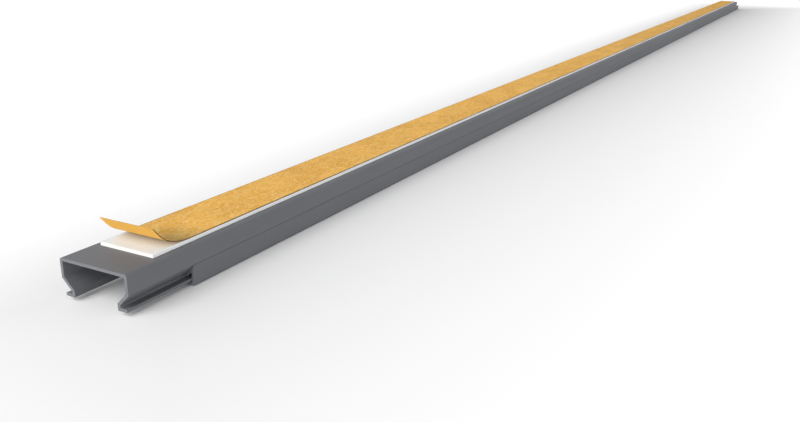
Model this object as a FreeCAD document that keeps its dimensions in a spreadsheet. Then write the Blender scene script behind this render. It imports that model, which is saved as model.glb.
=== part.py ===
# Self-adhesive cord cover raceway: a straight length of plastic channel for hiding cords on a wall.
# It has four pieces: the base channel, the cover that snaps over it, the foam tape on the base's
# mounting face, and the paper liner that protects the tape.
#
# It lies mounting face up, on the cover's flat outer face, so Z is measured up from that face.
# X runs along the stock, Y across it. The near end is at -X. There the cover is slid back from the
# base, and the liner is peeled away from the end of the tape.

import FreeCAD, Part
import Sketcher
import math
import os

SIZES = [
    # name, size, what it is (millimetres and degrees)
    ("stock_length", 1000.0, "length of the base, and of the cover"),
    ("channel_width", 20.0, "overall width across the base's side walls"),
    ("channel_height", 10.0, "mounting face to outer face of the cover"),
    ("base_wall", 0.75, "wall of the base, everywhere"),
    ("hook_inset", 2.75, "how far the base's side wall leans in, down to its hook"),
    ("hook_slope", 45.0, "lean of that part of the wall"),
    ("throat_height", 0.6, "upright wall between the slope and the lip, outside"),
    ("cover_wall", 0.75, "the cover's plate and flanges"),
    ("leg_wall", 0.7, "the cover's snap legs, which follow the slope"),
    ("catch_gap", 0.2, "clearance between the legs' ends and the base's lips"),
    ("slide_gap", 0.05, "clearance between the cover and the base where they slide"),
    ("lip_gap", 0.4, "clearance between the base's lips and the cover's plate"),
    ("cover_setback", 19.5, "how far the cover is slid back from the near end"),
    ("corner_radius", 0.6, "base, outer corners along the mounting face"),
    ("cover_radius", 0.6, "cover, outer corners"),
    ("bend_radius", 0.2, "bends and inner corners of both extrusions"),
    ("edge_radius", 0.15, "free edges of the base's lips and of the cover's legs"),
    ("tape_width", 16.0, "foam tape, and the liner on it"),
    ("tape_thickness", 0.9, "foam tape"),
    ("tape_setback", 9.6, "tape's ends, in from the base's ends"),
    ("liner_thickness", 0.2, "coated paper liner"),
    ("liner_overhang", 1.3, "liner longer than the tape, as a tab to pull"),
    ("peel_length", 11.5, "tape left bare by the peeled liner"),
    ("lift_radius", 15.5, "liner, first and wider bend of the curl"),
    ("lift_angle", 23.0, "turn of that bend"),
    ("curl_radius", 9.0, "liner, second and tighter bend of the curl"),
    ("curl_angle", 27.0, "turn of that bend"),
]

# A bend's radius is at most this share of the wall that it is in.
BEND_SHARE = "0.4"

# Heights above the cover's outer face, as formulas.
LIP_FOOT = "cover_wall + lip_gap"
LIP_TOP = f"{LIP_FOOT} + base_wall"
KINK = f"{LIP_TOP} + throat_height + hook_inset / tan(hook_slope * 1 deg)"
COVER_TIP = f"{KINK} - slide_gap / sin(hook_slope * 1 deg)"

# Lengths along the liner, as formulas: what lies on the tape, and the straight end past the curl.
LINER_FLAT = "stock_length - 2 * tape_setback - peel_length"
LINER_BENDS = "(lift_radius * lift_angle + curl_radius * curl_angle) * pi / 180"
LINER_TAIL = f"peel_length + liner_overhang - {LINER_BENDS}"

# The sketcher's own number for the origin.
ORIGIN = (-1, 1)

SAME_PLACE = 1e-3

doc = FreeCAD.newDocument("raceway")


def make_sheet():
    sheet = doc.addObject("Spreadsheet::Sheet", "Sizes")
    for row, (name, size, note) in enumerate(SIZES, start=1):
        sheet.set(f"A{row}", name)
        sheet.set(f"B{row}", str(size))
        sheet.set(f"C{row}", note)
        sheet.setAlias(f"B{row}", name)
    doc.recompute()
    return sheet


sheet = make_sheet()


def size(name):
    return float(getattr(sheet, name))


def bind(thing, path, formula):
    """Ties a property to the sheet. The formula names the sizes by their bare names."""
    words = formula
    for name in sorted((row[0] for row in SIZES), key=len, reverse=True):
        words = words.replace(name, f"<<{name}>>")
    thing.setExpression(path, words.replace("<<", "Sizes.").replace(">>", ""))


def origin_plane(body, role):
    return next(item for item in body.Origin.OriginFeatures if item.Role == role)


def new_sketch(body, name, role):
    sketch = body.newObject("Sketcher::SketchObject", name)
    sketch.AttachmentSupport = [(origin_plane(body, role), "")]
    sketch.MapMode = "FlatFace"
    return sketch


def dimension(sketch, kind, *where, formula):
    """Adds a driving dimension at its present value, then ties it to the sheet."""
    index = sketch.addConstraint(Sketcher.Constraint(kind, *where))
    bind(sketch, f"Constraints[{index}]", formula)


class Outline:
    """A closed outline of straight sides in a sketch. Each side is known by its name."""

    def __init__(self, sketch, sides):
        """Sides are pairs of a name and the point where that side starts."""
        self.sketch = sketch
        self.number = {name: n for n, (name, start) in enumerate(sides)}
        self.points = [FreeCAD.Vector(*start, 0) for name, start in sides]
        for point, following in zip(self.points, self.points[1:] + self.points[:1]):
            sketch.addGeometry(Part.LineSegment(point, following))
        names = list(self.number)
        for name, following in zip(names, names[1:] + names[:1]):
            self.constrain("Coincident", *self.end(name), *self.start(following))

    def start(self, side):
        return self.number[side], 1

    def end(self, side):
        return self.number[side], 2

    def constrain(self, kind, *where):
        self.sketch.addConstraint(Sketcher.Constraint(kind, *where))

    def keep_on_middle(self, corner):
        """Keeps a corner on the sketch's upright axis, which the sketcher numbers -2."""
        self.constrain("PointOnObject", *corner, -2)

    def square(self, level, upright):
        for side in level:
            self.constrain("Horizontal", self.number[side])
        for side in upright:
            self.constrain("Vertical", self.number[side])

    def parallel(self, side, other):
        self.constrain("Parallel", self.number[side], self.number[other])

    def across(self, first, second, formula):
        gap = self.sketch.getPoint(*second).x - self.sketch.getPoint(*first).x
        dimension(self.sketch, "DistanceX", *first, *second, gap, formula=formula)

    def up(self, first, second, formula):
        gap = self.sketch.getPoint(*second).y - self.sketch.getPoint(*first).y
        dimension(self.sketch, "DistanceY", *first, *second, gap, formula=formula)


def extrude_and_mirror(body, sketch):
    """The half section becomes the full length, then both halves."""
    pad = body.newObject("PartDesign::Pad", f"{body.Name}_pad")
    pad.Profile = sketch
    bind(pad, "Length", "stock_length")
    mirrored = body.newObject("PartDesign::Mirrored", f"{body.Name}_halves")
    mirrored.Originals = [pad]
    mirrored.MirrorPlane = (origin_plane(body, "XZ_Plane"), [""])
    body.Tip = mirrored
    doc.recompute()


def long_edges(shape, corners):
    """Names of the edges along X that pass through one of the corners, on either side."""
    found = []
    for number, edge in enumerate(shape.Edges, start=1):
        near, far = edge.Vertexes[0].Point, edge.Vertexes[-1].Point
        if math.hypot(far.y - near.y, far.z - near.z) > SAME_PLACE:
            continue
        if any(math.hypot(abs(near.y) - y, near.z - z) < SAME_PLACE for y, z in corners):
            found.append(f"Edge{number}")
    return found


def round_edges(body, name, corners, formula):
    base = body.Tip
    edges = long_edges(base.Shape, corners)
    if len(edges) != len(corners) + len(corners):
        raise RuntimeError(f"{name}: {len(edges)} edges found at {len(corners)} corners a side")
    fillet = body.newObject("PartDesign::Fillet", name)
    fillet.Base = (base, edges)
    bind(fillet, "Radius", formula)
    body.Tip = fillet
    doc.recompute()


def base_sides():
    """Half section of the base: each side's name and start, clockwise from the mounting face."""
    half = size("channel_width") / 2
    top = size("channel_height")
    wall = size("base_wall")
    slope = math.radians(size("hook_slope"))
    lip_z = size("cover_wall") + size("lip_gap")
    lip_y = half - size("cover_wall") - size("slide_gap")
    hook_y = half - size("hook_inset")
    hook_z = lip_z + wall + size("throat_height")
    kink_z = hook_z + size("hook_inset") / math.tan(slope)
    inner_drop = wall * math.tan(slope / 2)
    return [
        ("mounting_face", (0, top)),
        ("side", (half, top)),
        ("slope", (half, kink_z)),
        ("throat", (hook_y, hook_z)),
        ("lip_top", (hook_y, lip_z + wall)),
        ("lip_tip", (lip_y, lip_z + wall)),
        ("lip_foot", (lip_y, lip_z)),
        ("hook_inside", (hook_y - wall, lip_z)),
        ("slope_inside", (hook_y - wall, hook_z + inner_drop)),
        ("side_inside", (half - wall, kink_z + inner_drop)),
        ("ceiling", (half - wall, top - wall)),
        ("middle", (0, top - wall)),
    ]


def make_base_channel():
    body = doc.addObject("PartDesign::Body", "base_channel")
    sides = base_sides()
    line = Outline(new_sketch(body, "base_half_section", "YZ_Plane"), sides)
    line.square(
        level=("mounting_face", "lip_top", "lip_foot", "ceiling"),
        upright=("side", "throat", "lip_tip", "hook_inside", "side_inside", "middle"),
    )
    line.parallel("slope", "slope_inside")
    line.keep_on_middle(line.start("mounting_face"))
    line.up(ORIGIN, line.start("mounting_face"), "channel_height")
    line.across(ORIGIN, line.start("side"), "channel_width / 2")
    line.up(line.start("throat"), line.start("slope"), "hook_inset / tan(hook_slope * 1 deg)")
    line.across(line.start("throat"), line.start("slope"), "hook_inset")
    line.up(line.start("lip_top"), line.start("throat"), "throat_height")
    line.up(line.start("lip_foot"), line.start("lip_tip"), "base_wall")
    line.up(ORIGIN, line.start("lip_foot"), LIP_FOOT)
    line.across(ORIGIN, line.start("lip_foot"), "channel_width / 2 - cover_wall - slide_gap")
    line.across(line.start("slope_inside"), line.start("throat"), "base_wall")
    line.across(line.start("side_inside"), line.start("slope"), "base_wall")
    inner_drop = "base_wall * tan(hook_slope * 1 deg / 2)"
    line.up(line.start("slope"), line.start("side_inside"), inner_drop)
    line.up(line.start("ceiling"), line.start("side"), "base_wall")
    doc.recompute()
    extrude_and_mirror(body, line.sketch)
    corner = dict(sides)
    bend = f"min(bend_radius; base_wall * {BEND_SHARE})"
    round_edges(body, "base_outer_corners", [corner["side"]], "corner_radius")
    for name in ("slope", "throat", "lip_top", "hook_inside", "slope_inside", "side_inside"):
        round_edges(body, f"base_bend_at_{name}", [corner[name]], bend)
    round_edges(body, "base_inner_corners", [corner["ceiling"]], bend)
    edge = f"min(edge_radius; base_wall * {BEND_SHARE})"
    round_edges(body, "base_lip_edges", [corner["lip_tip"], corner["lip_foot"]], edge)
    return body


def cover_sides():
    """Half section of the cover: each side's name and start, anticlockwise from its outer face."""
    half = size("channel_width") / 2
    wall = size("cover_wall")
    slope = math.radians(size("hook_slope"))
    lip_top = wall + size("lip_gap") + size("base_wall")
    kink_z = lip_top + size("throat_height") + size("hook_inset") / math.tan(slope)
    tip_z = kink_z - size("slide_gap") / math.sin(slope)
    reach = size("hook_inset") - size("slide_gap")
    catch_z = lip_top + size("catch_gap")
    inner_z = tip_z - size("leg_wall") / math.sin(slope)
    return [
        ("outer_face", (0, 0)),
        ("flange", (half, 0)),
        ("leg", (half, tip_z)),
        ("leg_tip", (half - reach, tip_z - reach / math.tan(slope))),
        ("catch", (half - reach, catch_z)),
        ("leg_inside", (half - (inner_z - catch_z) * math.tan(slope), catch_z)),
        ("flange_inside", (half - wall, inner_z - wall / math.tan(slope))),
        ("plate_inside", (half - wall, wall)),
        ("middle", (0, wall)),
    ]


def make_snap_cover():
    body = doc.addObject("PartDesign::Body", "snap_cover")
    sides = cover_sides()
    line = Outline(new_sketch(body, "cover_half_section", "YZ_Plane"), sides)
    line.square(
        level=("outer_face", "catch", "plate_inside"),
        upright=("flange", "leg_tip", "flange_inside", "middle"),
    )
    line.parallel("leg", "leg_inside")
    line.constrain("Coincident", *line.start("outer_face"), *ORIGIN)
    line.across(ORIGIN, line.start("flange"), "channel_width / 2")
    line.up(ORIGIN, line.start("leg"), COVER_TIP)
    line.across(line.start("leg_tip"), line.start("leg"), "hook_inset - slide_gap")
    leg_rise = "(hook_inset - slide_gap) / tan(hook_slope * 1 deg)"
    line.up(line.start("leg_tip"), line.start("leg"), leg_rise)
    line.up(ORIGIN, line.start("catch"), f"{LIP_TOP} + catch_gap")
    line.across(line.start("flange_inside"), line.start("leg"), "cover_wall")
    leg_root = "leg_wall / sin(hook_slope * 1 deg) + cover_wall / tan(hook_slope * 1 deg)"
    line.up(line.start("flange_inside"), line.start("leg"), leg_root)
    line.up(ORIGIN, line.start("plate_inside"), "cover_wall")
    doc.recompute()
    extrude_and_mirror(body, line.sketch)
    corner = dict(sides)
    bend = f"min(bend_radius; cover_wall * {BEND_SHARE})"
    edge = f"min(edge_radius; leg_wall * {BEND_SHARE} / 2)"
    round_edges(body, "cover_outer_corners", [corner["flange"]], "cover_radius")
    round_edges(body, "cover_inner_corners", [corner["plate_inside"]], bend)
    round_edges(body, "cover_leg_roots", [corner["flange_inside"]], edge)
    for name in ("leg_tip", "catch", "leg_inside"):
        round_edges(body, f"cover_edge_at_{name}", [corner[name]], edge)
    return body


def make_foam_tape():
    tape = doc.addObject("Part::Box", "foam_tape")
    bind(tape, "Length", "stock_length - 2 * tape_setback")
    bind(tape, "Width", "tape_width")
    bind(tape, "Height", "tape_thickness")
    return tape


def liner_path(body):
    """The liner seen from the side: flat on the tape, then two bends up and a straight end."""
    path = new_sketch(body, "liner_path", "XZ_Plane")
    flat = size("stock_length") - 2 * size("tape_setback") - size("peel_length")
    lift_radius, curl_radius = size("lift_radius"), size("curl_radius")
    lift = math.radians(size("lift_angle"))
    curl = math.radians(size("curl_angle"))
    down = math.radians(270)
    off_lift = FreeCAD.Vector(math.sin(lift), math.cos(lift), 0)
    off_curl = FreeCAD.Vector(math.sin(lift + curl), math.cos(lift + curl), 0)
    lift_centre = FreeCAD.Vector(0, lift_radius, 0)
    curl_centre = lift_centre - off_lift * (lift_radius - curl_radius)
    curl_end = curl_centre - off_curl * curl_radius
    bends = lift_radius * lift + curl_radius * curl
    tail_length = size("peel_length") + size("liner_overhang") - bends
    tail = FreeCAD.Vector(-off_curl.y, off_curl.x, 0) * tail_length
    lift_circle = Part.Circle(lift_centre, FreeCAD.Vector(0, 0, 1), lift_radius)
    curl_circle = Part.Circle(curl_centre, FreeCAD.Vector(0, 0, 1), curl_radius)
    start = FreeCAD.Vector(flat, 0, 0)
    on_tape = path.addGeometry(Part.LineSegment(start, FreeCAD.Vector(0, 0, 0)))
    lifting = path.addGeometry(Part.ArcOfCircle(lift_circle, down - lift, down))
    curling = path.addGeometry(Part.ArcOfCircle(curl_circle, down - lift - curl, down - lift))
    free_end = path.addGeometry(Part.LineSegment(curl_end, curl_end + tail))
    path.addConstraint(Sketcher.Constraint("Coincident", on_tape, 2, *ORIGIN))
    path.addConstraint(Sketcher.Constraint("Horizontal", on_tape))
    path.addConstraint(Sketcher.Constraint("Tangent", on_tape, 2, lifting, 2))
    path.addConstraint(Sketcher.Constraint("Tangent", lifting, 1, curling, 2))
    path.addConstraint(Sketcher.Constraint("Tangent", curling, 1, free_end, 1))
    dimension(path, "Distance", on_tape, flat, formula=LINER_FLAT)
    dimension(path, "Radius", lifting, lift_radius, formula="lift_radius")
    dimension(path, "Angle", lifting, lift, formula="lift_angle * 1 deg")
    dimension(path, "Radius", curling, curl_radius, formula="curl_radius")
    dimension(path, "Angle", curling, curl, formula="curl_angle * 1 deg")
    dimension(path, "Distance", free_end, tail_length, formula=LINER_TAIL)
    return path


def make_release_liner():
    body = doc.addObject("PartDesign::Body", "release_liner")
    path = liner_path(body)
    strip = new_sketch(body, "liner_strip", "YZ_Plane")
    bind(strip, "AttachmentOffset.Base.z", LINER_FLAT)
    half, thick = size("tape_width") / 2, size("liner_thickness")
    line = Outline(strip, [
        ("underside", (-half, 0)),
        ("left", (half, 0)),
        ("top", (half, thick)),
        ("right", (-half, thick)),
    ])
    line.square(level=("underside", "top"), upright=("left", "right"))
    line.up(ORIGIN, line.start("underside"), "0")
    line.up(line.start("left"), line.start("top"), "liner_thickness")
    line.across(line.start("underside"), ORIGIN, "tape_width / 2")
    line.across(ORIGIN, line.start("left"), "tape_width / 2")
    doc.recompute()
    sweep = body.newObject("PartDesign::AdditivePipe", "liner_sweep")
    sweep.Profile = strip
    sweep.Spine = (path, [])
    body.Tip = sweep
    doc.recompute()
    return body


def place(thing, x, y="0", z="0"):
    for axis, formula in zip("xyz", (x, y, z)):
        bind(thing, f"Placement.Base.{axis}", f"({formula}) * 1 mm")


def check(pieces):
    """Stops here if a feature failed, or a piece is not one good solid."""
    for item in doc.Objects:
        if {"Invalid", "Error"} & set(item.State):
            raise RuntimeError(f"{item.Name} failed: {item.State}")
    for piece in pieces:
        shape = piece.Shape
        if shape.isNull() or not shape.isValid() or len(shape.Solids) != 1:
            raise RuntimeError(f"{piece.Label} is not one valid solid")
        box = shape.BoundBox
        print(
            f"{piece.Label}: {shape.Volume:.1f} mm3,"
            f" X {box.XMin:.2f}..{box.XMax:.2f}, Y {box.YMin:.2f}..{box.YMax:.2f},"
            f" Z {box.ZMin:.2f}..{box.ZMax:.2f}"
        )


def main():
    base = make_base_channel()
    cover = make_snap_cover()
    tape = make_foam_tape()
    liner = make_release_liner()
    near_end = "-(stock_length + cover_setback) / 2"
    place(base, near_end)
    place(cover, f"{near_end} + cover_setback")
    place(tape, f"{near_end} + tape_setback", "-tape_width / 2", "channel_height")
    place(
        liner, f"{near_end} + tape_setback + peel_length",
        z="channel_height + tape_thickness",
    )
    doc.recompute()
    pieces = [base, cover, tape, liner]
    check(pieces)
    os.makedirs("parts", exist_ok=True)
    for piece in pieces:
        piece.Shape.exportStep(f"parts/{piece.Label}.step")


main()
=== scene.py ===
# Looks for the cord cover raceway: materials for the two plastic extrusions, a detailed foam tape
# and paper liner in place of their plain solids, and a white studio with the photograph's camera.
# Everything is in metres. X runs along the stock from the peeled end, Y to its left, and Z is up.

import math

import bpy
from mathutils import Matrix, Vector, noise


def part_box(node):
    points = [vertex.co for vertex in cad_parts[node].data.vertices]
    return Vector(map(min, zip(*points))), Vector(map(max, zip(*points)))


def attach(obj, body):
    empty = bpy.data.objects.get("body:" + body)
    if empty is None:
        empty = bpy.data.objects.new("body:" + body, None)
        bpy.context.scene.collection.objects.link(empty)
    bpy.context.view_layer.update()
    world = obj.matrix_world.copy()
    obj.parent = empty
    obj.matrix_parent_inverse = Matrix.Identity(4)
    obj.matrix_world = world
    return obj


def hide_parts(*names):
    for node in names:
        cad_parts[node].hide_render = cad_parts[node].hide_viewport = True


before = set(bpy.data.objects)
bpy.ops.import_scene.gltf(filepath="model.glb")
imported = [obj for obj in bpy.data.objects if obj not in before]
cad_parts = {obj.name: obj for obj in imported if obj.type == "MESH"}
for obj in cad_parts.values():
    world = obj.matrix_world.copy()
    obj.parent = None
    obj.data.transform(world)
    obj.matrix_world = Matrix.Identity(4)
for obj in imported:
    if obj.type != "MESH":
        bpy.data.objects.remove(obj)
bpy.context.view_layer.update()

MM = 0.001

# The camera, as fitted to the photograph.
SENSOR_WIDTH = 36.0
CAMERA_LENS = 36.03
CAMERA_PLACE = Vector((-616.80, -131.55, 75.40)) * MM
CAMERA_YAW = math.radians(28.318)
CAMERA_DOWN = math.radians(18.501)
CAMERA_ROLL = math.radians(0.607)
CAMERA_CLIP = (0.005, 50.0)

# The foam tape's section: its soft top edges, and its other points as shares of its height, up the
# side, and of its half width, over the top.
TAPE_SOFT = 0.1 * MM
TAPE_CORNER_STEPS = 4
TAPE_UP_SIDE = (0.0, 0.35, 0.7)
TAPE_OVER_TOP = (0.75, 0.5, 0.25, 0.0)

# The foam tape along its length: its steps, and how far and how often each side wavers.
TAPE_FINE_LENGTH = 25 * MM
TAPE_FINE_STEP = 0.5 * MM
TAPE_COARSE_STEP = 4 * MM
TAPE_WAVER = 0.04 * MM
WAVERS_TO_METRE = 90
LEFT_WAVER_ROW = 7.0
RIGHT_WAVER_ROW = 3.0

# The liner's curl, as in the CAD source.
LINER_THICKNESS = 0.2 * MM
LINER_OVERHANG = 1.3 * MM
PEEL_LENGTH = 11.5 * MM
LIFT_RADIUS = 15.5 * MM
LIFT_ANGLE = math.radians(23)
CURL_RADIUS = 9.0 * MM
CURL_ANGLE = math.radians(27)

# The liner's mesh: its parts across, and its steps in the curl and along the flat.
LINER_ACROSS = 40
CURL_STEP = 0.25 * MM
FLAT_START = 1 * MM
FLAT_FINE_END = 40 * MM
FLAT_FINE_STEP = 1 * MM
FLAT_COARSE_STEP = 2.5 * MM

# An edge is sharp where its faces meet at more than this angle.
TAPE_CREASE = math.radians(40)
LINER_CREASE = math.radians(35)

# Soft dents in the paper: half their greatest depth, and then for the wide and the small ones how
# many there are to a metre along and across it, their layer of the noise and their share.
HALF_DENT = 0.02 * MM
DENTS = ((300, 380, 4.0, 0.6), (900, 1000, 9.0, 0.4))

# A painted shadow line along the liner's long edges, where it meets the tape: half the liner's
# width, how far in from its edges the shadow reaches and is darkest, and how strongly it shows.
LINER_HALF = 8.0 * MM
RIM_SHADOW_WIDTH = 0.35 * MM
RIM_SHADOW_DARKEST = 0.3 * RIM_SHADOW_WIDTH
RIM_SHADOW_STRENGTH = 0.8

# The painted shade at the peeled end's bend, for the shade that falls there: where it is centred,
# near where the end is bent most, how far from there it is full and reaches, and how much a distance
# across the liner counts for.
BEND_SHADE_SPOT = (-490.5 * MM, -8.5 * MM)
BEND_SHADE_HEART = 0.9 * MM
BEND_SHADE_REACH = 9 * MM
BEND_SHADE_WIDER = 0.64

# The place of each material in its piece's list.
FOAM_CUT, FOAM_STICKY = 0, 1
PAPER_TOP, PAPER_BACK, PAPER_EDGE = 0, 1, 2

# The studio's soft light: a broad glow and a softbox from the peeled end's side, and a low sky
# that is brighter to some sides than to others.
SKY_GLOW_FROM = (-0.750, 0.105, 0.653)
SKY_GLOW_FOCUS = 3.0
SKY_GLOW = 0.77
LOW_SKY_LEFT = 2.5
LOW_SKY_RIGHT = 2.6
LOW_SKY_FRONT = 0.7
LOW_SKY_FOCUS = 2.0
SOFTBOX_PLACE = (-2.017, 0.213, 1.286)
SOFTBOX_TARGET = (-0.5, 0.0, 0.0)
SOFTBOX_SIDE = 1.8
SOFTBOX_POWER = 36.5

# The floor, and its glow where it is seen. The glow starts a little past the stock's sides and ends
# and grows over the fade, both twice as near on the left. It is stronger along X, and far off.
FLOOR_REACH = 12.0
FLOOR_GLOW_ENDS = 0.51
FLOOR_GLOW_SIDES = 0.02
FLOOR_GLOW_FADE = 0.10
FLOOR_GLOW_LEFT = 2.0
FLOOR_GLOW_ALONG = dict(low=-0.5, high=0.6, new_low=0.195, new_high=0.44)
FLOOR_GLOW_FAR_OFF = dict(low=0.9, high=2.5, new_low=0.0, new_high=0.35)

# Colours, as linear red, green and blue.
WHITE = (1.0, 1.0, 1.0)
FLOOR_WHITE = (0.91, 0.91, 0.915)
FLOOR_PALER = (0.925, 0.925, 0.925)
PLASTIC = (0.133, 0.138, 0.150)
# The sawn ends: partly their own paler tone, partly painted light from the front.
PLASTIC_CUT_AND_LIT = (0.162, 0.167, 0.178)
FOAM = (0.84, 0.825, 0.795)
# The foam's slit sides painted paler than its ends, for how the light falls on them.
FOAM_SIDE_PAINTED_PALER = (0.96, 0.965, 0.97)
ADHESIVE = (0.70, 0.772, 0.84)
ADHESIVE_CELL = (0.72, 0.79, 0.86)
ADHESIVE_WALL = (0.64, 0.72, 0.785)
LINER_LIGHT = (0.90, 0.467, 0.078)
LINER_DARK = (0.645, 0.278, 0.0185)
LINER_FOLD = (0.965, 0.685, 0.25)
# Painted shadow along the liner's long edges.
LINER_RIM_SHADOW = (0.26, 0.15, 0.05)
# Painted shade at the peeled end's bend, not a colour of the paper.
BEND_PAINTED_SHADE = (0.58, 0.66, 0.85)
LINER_BACK = (0.98, 0.525, 0.060)
LINER_BACK_DARK = (0.88, 0.44, 0.04)
LINER_BACK_LIGHT = (0.99, 0.54, 0.085)
# The long edges' brown core, darkened as painted gap shadow where the liner meets the tape, less so
# at the bend.
LINER_CORE_AND_GAP_SHADOW = (0.035, 0.018, 0.006)
LINER_CORE_LIGHT_AND_GAP_SHADOW = (0.05, 0.028, 0.010)
LINER_CORE_LESS_SHADOWED_AT_BEND = (0.16, 0.10, 0.05)
LINER_CUT_END = (0.45, 0.25, 0.06)
LINER_CUT_END_LIGHT = (0.58, 0.33, 0.09)

# Noise and cells in the materials: the range that most of the noise is in and its middle, and then
# what each one is like. Its scale is to a metre, before its stretch.
NOISE_LOW = 0.3
NOISE_MIDDLE = 0.5
NOISE_HIGH = 0.7
DIE_LINES = dict(scale=1400.0, detail=3.0, stretch=(0.004, 1, 1))
PLASTIC_CLOUD = dict(scale=90.0, detail=3.0, stretch=(0.3, 1, 1))
PLASTIC_GRAIN = dict(scale=5200.0, roughness=0.6)
SAW_MARKS = dict(scale=5000.0, detail=3.0, stretch=(1, 0.12, 1), turn=(0.35, 0, 0))
FOAM_CELLS = 5200.0
FOAM_FINE = dict(scale=2600.0, detail=4.0)
ADHESIVE_CELLS = 3400.0
ADHESIVE_PULL = dict(scale=900.0, detail=3.0, distortion=0.6, stretch=(0.25, 1, 1))
LINER_PATCHES = dict(scale=110.0, detail=4.0, roughness=0.6, stretch=(0.6, 1, 1))
LINER_MOTTLE = dict(scale=620.0, detail=4.0, roughness=0.7, distortion=0.8)
LINER_FIBRES = dict(scale=3600.0, detail=3.0, stretch=(0.35, 1, 1), turn=(0, 0, 0.5))
BACK_PATCHES = dict(scale=180.0, detail=4.0, roughness=0.6)
BACK_FIBRES = dict(scale=2800.0, detail=3.0, stretch=(0.35, 1, 1))
EDGE_FIBRES = dict(scale=3000.0, detail=3.0, stretch=(0.3, 1, 3))
FLOOR_TONE = dict(scale=3.0)

# Creases in the liner, which run at two slants and straight: how wide and strong, and their noise.
SLANT_LEFT = dict(scale=430.0, detail=3.0, roughness=0.55, distortion=0.5,
                  stretch=(0.62, 1.35, 1), turn=(0, 0, math.radians(38)))
SLANT_RIGHT = dict(scale=390.0, detail=3.0, roughness=0.55, distortion=0.5,
                   stretch=(0.66, 1.3, 1), turn=(0, 0, math.radians(-31)))
SHORT = dict(scale=1000.0, detail=3.0, distortion=0.6, stretch=(0.8, 1.2, 1))
CREASES = ((0.030, 1.0, SLANT_LEFT), (0.030, 1.0, SLANT_RIGHT), (0.045, 0.75, SHORT))

# How much rougher the sawn ends are and how strong their bump is, how much of the creases' colour
# shows, and how far the liner's back is evened out.
SAWN_ROUGHER = 0.14
SAWN_BUMP = 0.8
LINER_FOLD_SHARE = 0.85
LINER_BACK_EVEN = 0.4

# Surfaces by the way they face: how much of the normal lies along an axis where they start and
# where they are full.
SAWN_END = dict(axis="X", low=0.80, high=0.95)
LONG_SIDE = dict(axis="Y", low=0.4, high=0.7)

# The Mix node's sockets for colours. Those before them are for other kinds of value.
MIX_FIRST = 6
MIX_SECOND = 7
MIX_RESULT = 2


class Graph:
    """The node tree of a material or a world."""

    def __init__(self, owner, output="ShaderNodeOutputMaterial"):
        owner.use_nodes = True
        self.owner = owner
        self.tree = owner.node_tree
        self.tree.nodes.clear()
        self.output = self.tree.nodes.new(output)

    def add(self, kind, inputs=None, **settings):
        """A new node with these settings, and with its inputs fed by their names or numbers."""
        node = self.tree.nodes.new(kind)
        for name, value in settings.items():
            setattr(node, name, value)
        for socket, value in (inputs or {}).items():
            self.feed(node.inputs[socket], value)
        return node

    def feed(self, socket, value):
        """Links an output to a socket, or sets the socket to a number, a vector or a colour."""
        if isinstance(value, bpy.types.NodeSocket):
            self.tree.links.new(value, socket)
        elif socket.type == "RGBA":
            socket.default_value = (*value, 1.0)
        else:
            socket.default_value = value

    def place(self, stretch=(1, 1, 1), turn=(0, 0, 0)):
        """Object coordinates in metres, stretched and turned."""
        coordinates = self.add("ShaderNodeTexCoord").outputs["Object"]
        inputs = {"Vector": coordinates, "Scale": stretch, "Rotation": turn}
        return self.add("ShaderNodeMapping", inputs).outputs["Vector"]

    def part(self, vector, axis):
        """The X, Y or Z of a vector."""
        return self.add("ShaderNodeSeparateXYZ", {0: vector}).outputs[axis]

    def facing(self, axis, low, high):
        """1 where the surface faces along an axis, either way, and 0 where it faces aside."""
        normal = self.add("ShaderNodeTexCoord").outputs["Normal"]
        return self.spread(self.math("ABSOLUTE", self.part(normal, axis)), low, high)

    def noise(self, scale, detail=2.0, roughness=0.5, distortion=0.0, **placing):
        """Noise from 0 to 1, most of it near the middle."""
        inputs = {
            "Vector": self.place(**placing),
            "Scale": scale,
            "Detail": detail,
            "Roughness": roughness,
            "Distortion": distortion,
        }
        return self.add("ShaderNodeTexNoise", inputs).outputs["Fac"]

    def cells(self, scale):
        """0 in the middle of each cell, and more towards its walls."""
        inputs = {"Vector": self.place(), "Scale": scale}
        return self.add("ShaderNodeTexVoronoi", inputs, feature="F1").outputs["Distance"]

    def math(self, operation, first, second=0.0):
        inputs = {0: first, 1: second}
        return self.add("ShaderNodeMath", inputs, operation=operation).outputs[0]

    def measure(self, operation, first, second=(0.0, 0.0, 0.0)):
        """A number from one or two vectors."""
        inputs = {0: first, 1: second}
        return self.add("ShaderNodeVectorMath", inputs, operation=operation).outputs["Value"]

    def spread(self, value, low, high, new_low=0.0, new_high=1.0):
        """Maps low..high to new_low..new_high, held at both ends."""
        inputs = dict(enumerate((value, low, high, new_low, new_high)))
        return self.add("ShaderNodeMapRange", inputs).outputs["Result"]

    def vary(self, value, low=0.0, high=1.0):
        """Maps the range that most noise is in to low..high."""
        return self.spread(value, NOISE_LOW, NOISE_HIGH, low, high)

    def mix(self, share, first, second, blend="MIX"):
        """The second colour over the first, by this share."""
        inputs = {"Factor": share, MIX_FIRST: first, MIX_SECOND: second}
        node = self.add("ShaderNodeMix", inputs, data_type="RGBA", blend_type=blend)
        return node.outputs[MIX_RESULT]

    def tint(self, colour, factor, share=1.0):
        """A colour times a factor or another colour, by this share."""
        return self.mix(share, colour, factor, blend="MULTIPLY")

    def bump(self, height, depth, strength, under=None):
        """Bump of this depth in metres, over the bump that is under it."""
        inputs = {"Height": height, "Distance": depth, "Strength": strength}
        if under is not None:
            inputs["Normal"] = under
        return self.add("ShaderNodeBump", inputs).outputs["Normal"]

    def principled(self, colour, roughness, normal, specular=0.5):
        """Finishes the material with one shader, and returns it."""
        inputs = {
            "Base Color": colour,
            "Roughness": roughness,
            "Normal": normal,
            "Specular IOR Level": specular,
        }
        self.show(self.add("ShaderNodeBsdfPrincipled", inputs).outputs["BSDF"])
        return self.owner

    def show(self, shader):
        self.feed(self.output.inputs["Surface"], shader)


def material_graph(name):
    return Graph(bpy.data.materials.new(name))


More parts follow.
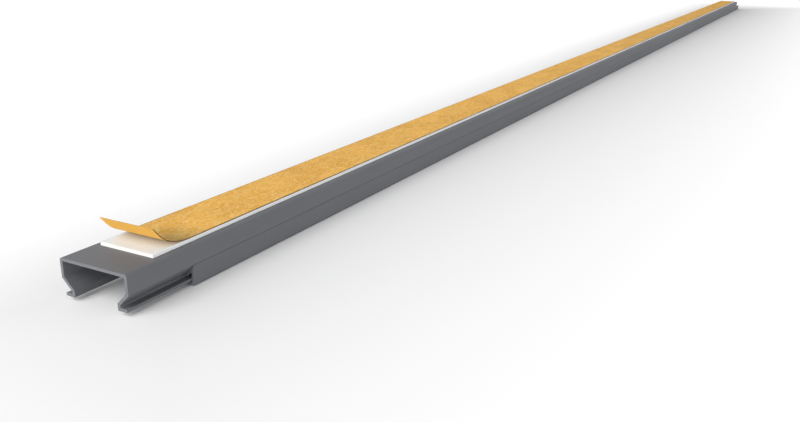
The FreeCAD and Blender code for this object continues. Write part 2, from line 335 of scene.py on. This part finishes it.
def plastic_material():
    """Satin extruded plastic: faint die lines along the stock, and sawn ends paler partly in their
    own tone and partly as painted light from the front.
    """
    graph = material_graph("satin_grey_plastic")
    sawn = graph.facing(**SAWN_END)
    die_lines = graph.noise(**DIE_LINES)
    cloud = graph.noise(**PLASTIC_CLOUD)
    grain = graph.noise(**PLASTIC_GRAIN)
    saw_marks = graph.noise(**SAW_MARKS)
    shade = graph.math("ADD", graph.vary(die_lines, low=0.97, high=1.02),
                       graph.vary(cloud, low=-0.03, high=0.03))
    shade = graph.math("ADD", shade, graph.vary(grain, low=-0.035, high=0.035))
    body = graph.tint(PLASTIC, shade)
    # The sawn ends are paler partly in their own tone and partly as painted light from the front.
    cut = graph.tint(PLASTIC_CUT_AND_LIT, graph.vary(saw_marks, low=0.86, high=1.12))
    satin = graph.vary(grain, low=0.50, high=0.60)
    roughness = graph.math("ADD", satin, graph.math("MULTIPLY", sawn, SAWN_ROUGHER))
    saw_strength = graph.math("MULTIPLY", sawn, SAWN_BUMP)
    normal = graph.bump(die_lines, depth=0.004 * MM, strength=0.6)
    normal = graph.bump(grain, depth=0.006 * MM, strength=0.6, under=normal)
    normal = graph.bump(saw_marks, depth=0.02 * MM, strength=saw_strength, under=normal)
    return graph.principled(graph.mix(sawn, body, cut), roughness, normal, specular=0.25)


def foam_material():
    """Closed-cell foam where it is cut: small open cells, with slit sides painted paler and ends
    darker for how the light falls.
    """
    graph = material_graph("white_foam_cut")
    long_side = graph.facing(**LONG_SIDE)
    cells = graph.cells(FOAM_CELLS)
    fine = graph.noise(**FOAM_FINE)
    pale = graph.spread(cells, low=0.15, high=0.6, new_low=1.02, new_high=0.97)
    # Painted light: the slit sides are paler than the ends.
    colour = graph.tint(graph.mix(long_side, FOAM, FOAM_SIDE_PAINTED_PALER), pale)
    roughness = graph.vary(fine, low=0.72, high=0.86)
    normal = graph.bump(cells, depth=0.03 * MM, strength=0.3)
    normal = graph.bump(fine, depth=0.02 * MM, strength=0.3, under=normal)
    return graph.principled(colour, roughness, normal)


def adhesive_material():
    """The tape's sticky top: the foam seen through a thin film that has some gloss."""
    graph = material_graph("adhesive_film")
    cells = graph.cells(ADHESIVE_CELLS)
    pull = graph.noise(**ADHESIVE_PULL)
    colour = graph.mix(graph.spread(cells, low=0.1, high=0.7), ADHESIVE_CELL, ADHESIVE_WALL)
    film = graph.spread(pull, low=0.35, high=0.65, new_low=0.15, new_high=0.55)
    colour = graph.mix(film, colour, ADHESIVE)
    roughness = graph.vary(pull, low=0.36, high=0.58)
    normal = graph.bump(cells, depth=0.02 * MM, strength=0.5)
    normal = graph.bump(pull, depth=0.03 * MM, strength=0.5, under=normal)
    return graph.principled(colour, roughness, normal)


def crease_lines(graph):
    """Fine creases in the paper, which cross each other at a slant, and fainter short ones."""
    deepest = 0.0
    for width, strength, recipe in CREASES:
        off_middle = graph.math("SUBTRACT", graph.noise(**recipe), NOISE_MIDDLE)
        line = graph.spread(graph.math("ABSOLUTE", off_middle), 0.0, width, strength, 0.0)
        deepest = graph.math("MAXIMUM", deepest, line)
    return deepest


def painted_bend_shade(graph):
    """The share of painted shade: 1 where the peeled paper is bent most, at the edge of the bend,
    and 0 away from it.
    """
    place = graph.place(stretch=(1, BEND_SHADE_WIDER, 0))
    spot = (BEND_SHADE_SPOT[0], BEND_SHADE_SPOT[1] * BEND_SHADE_WIDER, 0.0)
    distance = graph.measure("DISTANCE", place, spot)
    return graph.spread(distance, BEND_SHADE_HEART, BEND_SHADE_REACH, 1.0, 0.0)


def painted_rim_shadow(graph):
    """The share of painted shadow: 1 at the liner's two long edges, and 0 where the rim ends."""
    across = graph.math("ABSOLUTE", graph.part(graph.place(), "Y"))
    return graph.spread(across, LINER_HALF - RIM_SHADOW_WIDTH, LINER_HALF - RIM_SHADOW_DARKEST)


def liner_top_material():
    """Waxed amber paper, mottled and finely creased, with painted shade at its bend and painted
    shadow at its rims.
    """
    graph = material_graph("amber_liner_top")
    folds = crease_lines(graph)
    mottle = graph.noise(**LINER_MOTTLE)
    fibres = graph.noise(**LINER_FIBRES)
    patches = graph.noise(**LINER_PATCHES)
    patches = graph.spread(patches, low=0.35, high=0.65, new_low=0.0, new_high=0.6)
    light = graph.math("ADD", patches, graph.vary(mottle, low=0.1, high=0.6))
    colour = graph.mix(light, LINER_DARK, LINER_LIGHT)
    colour = graph.mix(graph.math("MULTIPLY", folds, LINER_FOLD_SHARE), colour, LINER_FOLD)
    colour = graph.tint(colour, graph.vary(fibres, low=0.92, high=1.06))
    # Painted shade at the bend.
    colour = graph.tint(colour, BEND_PAINTED_SHADE, share=painted_bend_shade(graph))
    # Painted shadow along the long edges, where the liner meets the tape.
    colour = graph.mix(graph.math("MULTIPLY", painted_rim_shadow(graph), RIM_SHADOW_STRENGTH), colour, LINER_RIM_SHADOW)
    roughness = graph.vary(mottle, low=0.55, high=0.72)
    normal = graph.bump(mottle, depth=0.14 * MM, strength=0.7)
    normal = graph.bump(folds, depth=0.10 * MM, strength=0.7, under=normal)
    normal = graph.bump(fibres, depth=0.012 * MM, strength=0.5, under=normal)
    return graph.principled(colour, roughness, normal, specular=0.08)


def liner_back_material():
    """The liner's release side, which is smoother and more orange."""
    graph = material_graph("amber_liner_back")
    patches = graph.noise(**BACK_PATCHES)
    fibres = graph.noise(**BACK_FIBRES)
    colour = graph.mix(graph.vary(patches), LINER_BACK_DARK, LINER_BACK_LIGHT)
    colour = graph.mix(LINER_BACK_EVEN, colour, LINER_BACK)
    colour = graph.tint(colour, graph.vary(fibres, low=0.95, high=1.04))
    roughness = graph.vary(fibres, low=0.50, high=0.60)
    normal = graph.bump(patches, depth=0.06 * MM, strength=0.4)
    normal = graph.bump(fibres, depth=0.008 * MM, strength=0.4, under=normal)
    return graph.principled(colour, roughness, normal, specular=0.25)


def liner_edge_material():
    """The paper's cut edge: a brown core on the long sides, darkened as painted gap shadow and paler
    at the bend, and amber ends.
    """
    graph = material_graph("liner_slit_edge")
    long_side = graph.facing(**LONG_SIDE)
    fibres = graph.noise(**EDGE_FIBRES)
    # The long sides' brown core, darkened as painted gap shadow, less so at the bend.
    side = graph.mix(graph.vary(fibres), LINER_CORE_AND_GAP_SHADOW, LINER_CORE_LIGHT_AND_GAP_SHADOW)
    side = graph.mix(painted_bend_shade(graph), side, LINER_CORE_LESS_SHADOWED_AT_BEND)
    end = graph.mix(graph.vary(fibres), LINER_CUT_END, LINER_CUT_END_LIGHT)
    normal = graph.bump(fibres, depth=0.01 * MM, strength=0.5)
    return graph.principled(graph.mix(long_side, end, side), roughness=0.8, normal=normal)


def put(name, data):
    """A new object in the scene."""
    thing = bpy.data.objects.new(name, data)
    bpy.context.scene.collection.objects.link(thing)
    return thing


def mesh_piece(name, vertices, faces, kinds, materials):
    """A mesh object with smooth faces. kinds gives each face's place in the materials."""
    mesh = bpy.data.meshes.new(name)
    mesh.from_pydata(vertices, [], faces)
    for material in materials:
        mesh.materials.append(material)
    mesh.polygons.foreach_set("material_index", kinds)
    mesh.polygons.foreach_set("use_smooth", [True] * len(faces))
    mesh.validate()
    return put(name, mesh)


def soften_by_angle(piece, angle):
    """Smooth shading, but with a crease wherever two faces meet at more than this angle."""
    bpy.context.view_layer.objects.active = piece
    piece.select_set(True)
    bpy.ops.object.shade_smooth_by_angle(angle=angle)
    piece.select_set(False)


def stations(start, end, fine_end, fine_step, coarse_step):
    """Places from start to end, close together up to fine_end."""
    fine = max(1, round((fine_end - start) / fine_step))
    coarse = max(1, round((end - fine_end) / coarse_step))
    near = [start + (fine_end - start) * n / fine for n in range(fine)]
    far = [fine_end + (end - fine_end) * n / coarse for n in range(coarse + 1)]
    return near + far


def skin(rings, kind_of_side, kind_of_end):
    """Faces between closed rings of one size, and one flat face at each end, so its rim is sharp."""
    around = len(rings[0])
    last = (len(rings) - 1) * around
    vertices = [point for ring in rings for point in ring]
    faces, kinds = [], []
    for start in range(0, last, around):
        for k in range(around):
            follow = (k + 1) % around
            faces.append((start + k, start + follow, start + around + follow, start + around + k))
            kinds.append(kind_of_side[k])
    faces.append(tuple(range(around)))
    faces.append(tuple(last + k for k in reversed(range(around))))
    kinds += [kind_of_end, kind_of_end]
    return vertices, faces, kinds


def tape_section(half, thick):
    """The section's points, from the bottom right corner up the side, over the top and down."""
    side = [(-half, thick * share) for share in TAPE_UP_SIDE]
    corner = []
    for n in range(TAPE_CORNER_STEPS + 1):
        turn = math.radians(90 * n / TAPE_CORNER_STEPS)
        corner.append((-half + TAPE_SOFT - TAPE_SOFT * math.cos(turn),
                       thick - TAPE_SOFT + TAPE_SOFT * math.sin(turn)))
    top = [(-(half - TAPE_SOFT) * share, thick) for share in TAPE_OVER_TOP]
    right = side + corner + top
    return right + [(-y, z) for y, z in reversed(right[:-1])]


def tape_kinds(section):
    """The material of each side of the section: sticky on its flat top, and cut foam elsewhere."""
    first = len(TAPE_UP_SIDE) + TAPE_CORNER_STEPS
    last = len(section) - 1 - first
    return [FOAM_STICKY if first <= k < last else FOAM_CUT for k in range(len(section))]


def tape_ring(section, x, bottom, half):
    """The section at x, with its sides drawn in a little by their waver."""
    ring = []
    for y, z in section:
        row = LEFT_WAVER_ROW if y > 0 else RIGHT_WAVER_ROW
        wave = noise.noise(Vector((x * WAVERS_TO_METRE, row, 0.0)))
        pull = TAPE_WAVER * (1 + wave) / 2 if abs(y) > half - TAPE_SOFT else 0.0
        ring.append((x, y - math.copysign(pull, y), bottom + z))
    return ring


def make_foam_tape():
    """The tape as it is cut: soft top edges, sides that aren't quite straight, and crisp ends."""
    low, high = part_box("foam_tape")
    half = (high.y - low.y) / 2
    section = tape_section(half, high.z - low.z)
    places = stations(low.x, high.x, low.x + TAPE_FINE_LENGTH, TAPE_FINE_STEP, TAPE_COARSE_STEP)
    rings = [tape_ring(section, x, low.z, half) for x in places]
    vertices, faces, kinds = skin(rings, tape_kinds(section), FOAM_CUT)
    materials = [foam_material(), adhesive_material()]
    piece = mesh_piece("foam_tape_strip", vertices, faces, kinds, materials)
    soften_by_angle(piece, TAPE_CREASE)
    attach(piece, "base")
    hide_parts("foam_tape")


def crumple(run, y):
    """How far the paper dips at a point: small soft dents, from 0 to 0.04 mm."""
    dips = [share * noise.noise(Vector((run * along, y * across, layer)))
            for along, across, layer, share in DENTS]
    return HALF_DENT * (1 + sum(dips))


def liner_point(run, height, leave, bottom):
    """The x and z of a point of the liner.

    run is the way along it, past where it leaves the tape, and height is above its underside.
    """
    lifted = LIFT_RADIUS * LIFT_ANGLE
    curled = CURL_RADIUS * CURL_ANGLE
    flat = min(run, 0.0)
    first = min(max(run, 0.0), lifted) / LIFT_RADIUS
    lean = first + min(max(run - lifted, 0.0), curled) / CURL_RADIUS
    straight = max(run - lifted - curled, 0.0)
    x = leave - flat
    x -= LIFT_RADIUS * math.sin(first)
    x -= CURL_RADIUS * (math.sin(lean) - math.sin(first))
    x -= straight * math.cos(lean)
    z = bottom
    z += LIFT_RADIUS * (1 - math.cos(first))
    z += CURL_RADIUS * (math.cos(first) - math.cos(lean))
    z += straight * math.sin(lean)
    return x + height * math.sin(lean), z + height * math.cos(lean)


def liner_runs(flat_length):
    """Places along the liner, from its curled tip back to where it leaves the tape, and on."""
    tip = PEEL_LENGTH + LINER_OVERHANG
    peeled = [tip - CURL_STEP * n for n in range(round(tip / CURL_STEP) + 1)]
    flat = stations(FLAT_START, flat_length, FLAT_FINE_END, FLAT_FINE_STEP, FLAT_COARSE_STEP)
    return peeled + [-place for place in flat]


def liner_vertices(runs, half, leave, bottom):
    """A row of points on the liner's underside and one on its top, for each run."""
    vertices = []
    for run in runs:
        for height in (0.0, LINER_THICKNESS):
            # The underside stays flat where it lies on the tape.
            dented = run > 0 or height > 0
            for k in range(LINER_ACROSS + 1):
                y = -half + 2 * half * k / LINER_ACROSS
                dip = crumple(run, y) if dented else 0.0
                x, z = liner_point(run, height - dip, leave, bottom)
                vertices.append((x, y, z))
    return vertices


def liner_faces(count):
    """The liner's faces and their materials, for this number of runs."""
    step = LINER_ACROSS + 1
    row = 2 * step
    last = (count - 1) * row
    faces, kinds = [], []
    for start in range(0, last, row):
        for under in range(start, start + LINER_ACROSS):
            over = under + step
            faces.append((under, under + 1, under + row + 1, under + row))
            faces.append((over, over + row, over + row + 1, over + 1))
            kinds += [PAPER_BACK, PAPER_TOP]
        left = start + LINER_ACROSS
        faces.append((start, start + row, start + row + step, start + step))
        faces.append((left, left + step, left + row + step, left + row))
        kinds += [PAPER_EDGE, PAPER_EDGE]
    # The two ends face opposite ways.
    for start, turn in ((0, 1), (last, -1)):
        for corner in range(start, start + LINER_ACROSS):
            faces.append((corner, corner + step, corner + step + 1, corner + 1)[::turn])
            kinds.append(PAPER_EDGE)
    return faces, kinds


def make_liner():
    """The paper liner: flat on the tape, then curled up and back at the peeled end."""
    low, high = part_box("release_liner")
    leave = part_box("foam_tape")[0].x + PEEL_LENGTH
    runs = liner_runs(high.x - leave)
    vertices = liner_vertices(runs, (high.y - low.y) / 2, leave, low.z)
    faces, kinds = liner_faces(len(runs))
    materials = [liner_top_material(), liner_back_material(), liner_edge_material()]
    piece = mesh_piece("paper_liner", vertices, faces, kinds, materials)
    soften_by_angle(piece, LINER_CREASE)
    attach(piece, "base")
    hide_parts("release_liner")


def dress_plastic():
    """Gives both extrusions, which keep their CAD meshes, the plastic."""
    material = plastic_material()
    for name in ("base_channel", "snap_cover"):
        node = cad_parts[name]
        node.data.materials.clear()
        node.data.materials.append(material)


def camera_axes():
    """The camera's right, up and ahead, from its yaw, its tilt down and its roll."""
    ahead = Vector((math.cos(CAMERA_DOWN) * math.cos(CAMERA_YAW),
                    math.cos(CAMERA_DOWN) * math.sin(CAMERA_YAW),
                    -math.sin(CAMERA_DOWN)))
    level = Vector((math.sin(CAMERA_YAW), -math.cos(CAMERA_YAW), 0))
    upright = level.cross(ahead)
    right = level * math.cos(CAMERA_ROLL) + upright * math.sin(CAMERA_ROLL)
    up = upright * math.cos(CAMERA_ROLL) - level * math.sin(CAMERA_ROLL)
    return right, up, ahead


def make_camera():
    right, up, ahead = camera_axes()
    data = bpy.data.cameras.new("camera")
    data.sensor_width = SENSOR_WIDTH
    data.lens = CAMERA_LENS
    data.clip_start, data.clip_end = CAMERA_CLIP
    camera = put("camera", data)
    turn = Matrix((right, up, -ahead)).transposed().to_4x4()
    camera.matrix_world = Matrix.Translation(CAMERA_PLACE) @ turn
    bpy.context.scene.camera = camera


def seen(graph):
    """1 for rays from the camera, in gloss and through something clear too, and 0 for all others."""
    path = graph.add("ShaderNodeLightPath").outputs
    clear = graph.math("MAXIMUM", path["Is Camera Ray"], path["Is Transmission Ray"])
    return graph.math("MAXIMUM", clear, path["Is Glossy Ray"])


def floor_glow(graph):
    """How strongly the floor glows where it is seen: not at all right beside the stock."""
    place = graph.place()
    x = graph.part(place, "X")
    y = graph.part(place, "Y")
    left = graph.math("MULTIPLY", y, FLOOR_GLOW_LEFT)
    right = graph.math("MULTIPLY", y, -1.0)
    aside = graph.math("SUBTRACT", graph.math("MAXIMUM", left, right), FLOOR_GLOW_SIDES)
    past_ends = graph.math("SUBTRACT", graph.math("ABSOLUTE", x), FLOOR_GLOW_ENDS)
    away = graph.spread(graph.math("MAXIMUM", aside, past_ends), 0.0, FLOOR_GLOW_FADE)
    along = graph.spread(x, **FLOOR_GLOW_ALONG)
    far_off = graph.spread(graph.measure("LENGTH", place), **FLOOR_GLOW_FAR_OFF)
    strength = graph.math("MULTIPLY", away, graph.math("ADD", along, far_off))
    return graph.math("MULTIPLY", seen(graph), strength)


def floor_material():
    """A white floor, with a glow only where it is seen."""
    graph = material_graph("studio_floor")
    colour = graph.mix(graph.noise(**FLOOR_TONE), FLOOR_WHITE, FLOOR_PALER)
    diffuse = graph.add("ShaderNodeBsdfDiffuse", {"Color": colour})
    glow = graph.add("ShaderNodeEmission", {"Strength": floor_glow(graph)})
    both = graph.add("ShaderNodeAddShader", {0: diffuse.outputs[0], 1: glow.outputs[0]})
    graph.show(both.outputs[0])
    return graph.owner


def make_floor():
    reach = FLOOR_REACH
    corners = [(-reach, -reach, 0), (reach, -reach, 0), (reach, reach, 0), (-reach, reach, 0)]
    floor = mesh_piece("floor", corners, [(0, 1, 2, 3)], [0], [floor_material()])


def low_sky(graph, direction):
    """The sky near the horizon, which is brighter to some sides than to others."""
    x = graph.part(direction, "X")
    y = graph.part(direction, "Y")
    z = graph.part(direction, "Z")
    left = graph.math("MULTIPLY", graph.math("MAXIMUM", y), LOW_SKY_LEFT)
    right = graph.math("MULTIPLY", graph.math("MINIMUM", y), -LOW_SKY_RIGHT)
    front = graph.math("MULTIPLY", graph.math("MINIMUM", x), -LOW_SKY_FRONT)
    around = graph.math("ADD", graph.math("ADD", left, right), front)
    low = graph.math("SUBTRACT", 1.0, graph.math("MAXIMUM", z))
    return graph.math("MULTIPLY", around, graph.math("POWER", low, LOW_SKY_FOCUS))


def make_world():
    """White where it is seen, and a soft graded sky for everything that it lights."""
    world = bpy.data.worlds.new("studio")
    bpy.context.scene.world = world
    graph = Graph(world, "ShaderNodeOutputWorld")
    direction = graph.add("ShaderNodeTexCoord").outputs["Generated"]
    towards_glow = graph.measure("DOT_PRODUCT", direction, SKY_GLOW_FROM)
    glow = graph.math("POWER", graph.math("MAXIMUM", towards_glow), SKY_GLOW_FOCUS)
    sky = graph.math("ADD", graph.math("MULTIPLY", glow, SKY_GLOW), low_sky(graph, direction))
    strength = graph.spread(seen(graph), 0.0, 1.0, sky, 1.0)
    inputs = {"Color": WHITE, "Strength": strength}
    graph.show(graph.add("ShaderNodeBackground", inputs).outputs[0])


def make_softbox():
    data = bpy.data.lights.new("softbox", "AREA")
    data.shape = "SQUARE"
    data.size = SOFTBOX_SIDE
    data.energy = SOFTBOX_POWER
    light = put("softbox", data)
    light.location = SOFTBOX_PLACE
    light.rotation_mode = "QUATERNION"
    aim = Vector(SOFTBOX_TARGET) - Vector(SOFTBOX_PLACE)
    light.rotation_quaternion = aim.to_track_quat("-Z", "Y")


def make_studio():
    make_world()
    make_floor()
    make_softbox()
    bpy.context.scene.view_settings.view_transform = "Standard"


make_camera()
dress_plastic()
make_foam_tape()
make_liner()
make_studio()
